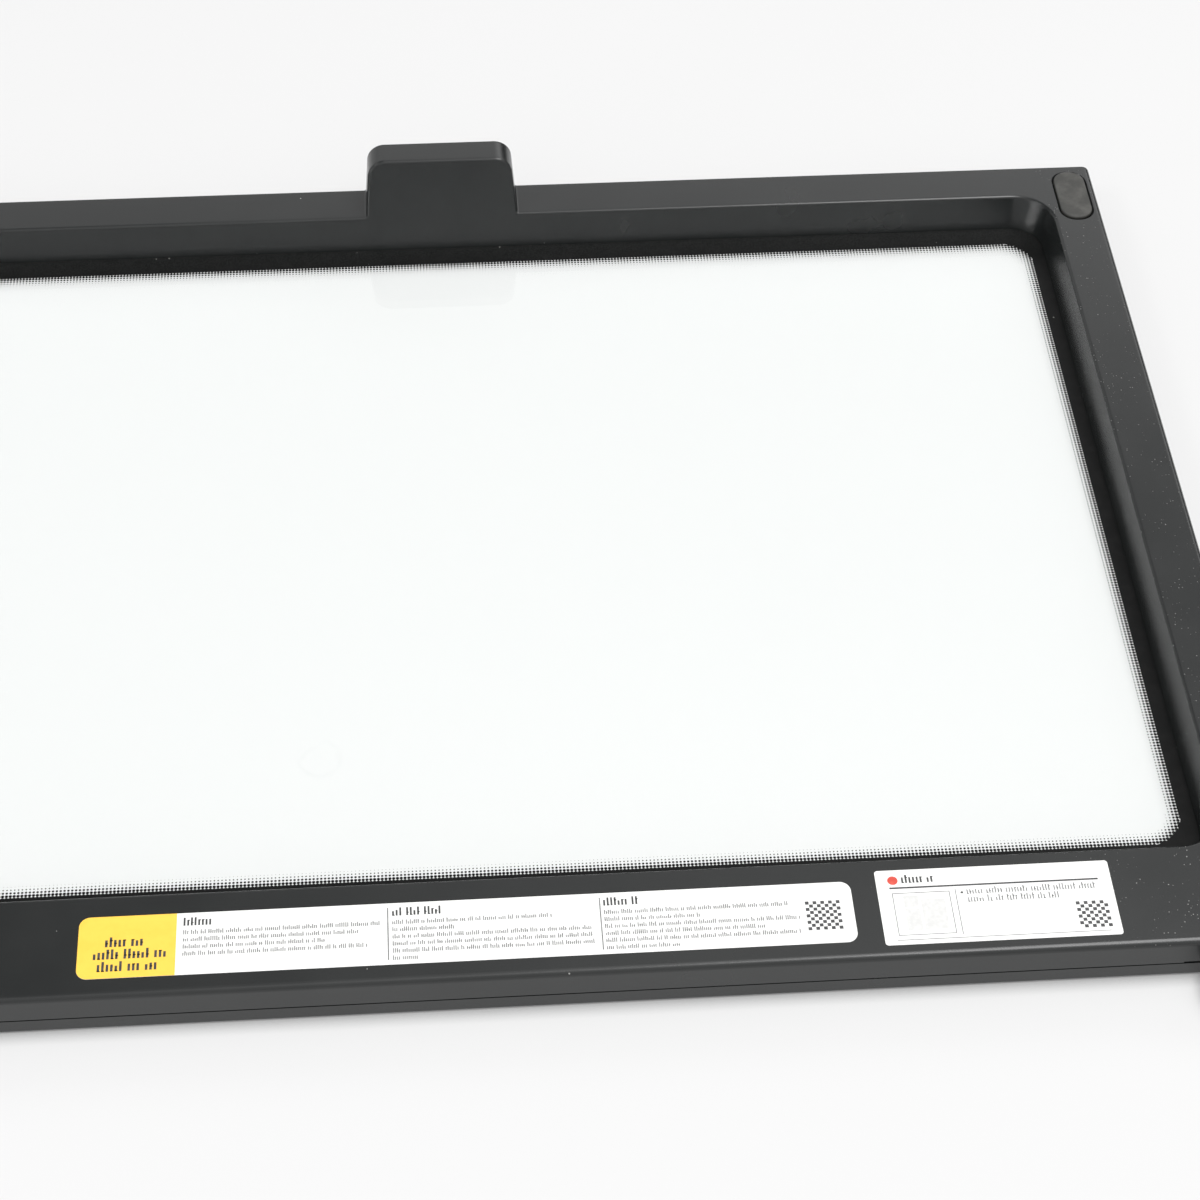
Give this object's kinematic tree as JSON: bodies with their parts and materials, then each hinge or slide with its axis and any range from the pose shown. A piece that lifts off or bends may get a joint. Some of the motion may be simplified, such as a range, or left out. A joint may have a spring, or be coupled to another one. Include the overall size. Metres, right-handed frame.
{
  "type": "washing machine lid",
  "caption": "Top-loading washing machine lid, glass face down: framed glass window with a sloped well, handle tab, rubber bumpers and soft-close hinge pins.",
  "frame": {"origin": "middle of the bounding box at the level of the face that the lid lies on", "axes": "+X along the hinge line, +Y from the hinge edge to the handle edge, +Z from the glass side to the inner side"},
  "size_m": [0.62, 0.4512, 0.046],
  "materials": {
    "frame_plastic": "satin black, fine moulded grain",
    "trim_plastic": "satin black",
    "window_glass": "clear toughened glass with a black fired-on border",
    "sealant": "cured adhesive",
    "bumper_rubber": "matt moulded rubber",
    "screw_steel": "bright zinc",
    "hinge_plastic": "satin black",
    "damper_plastic": "moulded grey",
    "shaft_steel": "turned steel",
    "sticker_vinyl": "white vinyl, plain print in fields of colour"
  },
  "bodies": {
    "lid": {"inner_frame": "frame_plastic", "outer_frame": "trim_plastic", "glass_panel": "window_glass", "glass_seal": "sealant", "bumper_left": "bumper_rubber", "bumper_right": "bumper_rubber", "frame_screws": "screw_steel", "hinge_housing_left": "hinge_plastic", "hinge_housing_right": "hinge_plastic", "hinge_screws": "screw_steel", "damper_body_left": "damper_plastic", "damper_body_right": "damper_plastic", "damper_cap_left": "damper_plastic", "damper_cap_right": "damper_plastic", "damper_seal_left": "bumper_rubber", "damper_seal_right": "bumper_rubber", "long_sticker": "sticker_vinyl", "short_sticker": "sticker_vinyl"},
    "left_shaft": {"damper_shaft_left": "shaft_steel"},
    "right_shaft": {"damper_shaft_right": "shaft_steel"}
  },
  "joints": [
    {"name": "left_hinge", "type": "hinge", "parent": "lid", "child": "left_shaft", "pos_m": [-0.3, -0.21765, 0.009], "axis": [1, 0, 0], "range_deg": [0, 100]},
    {"name": "right_hinge", "type": "hinge", "parent": "lid", "child": "right_shaft", "pos_m": [0.3, -0.21765, 0.009], "axis": [1, 0, 0], "range_deg": [0, 100]}
  ]
}
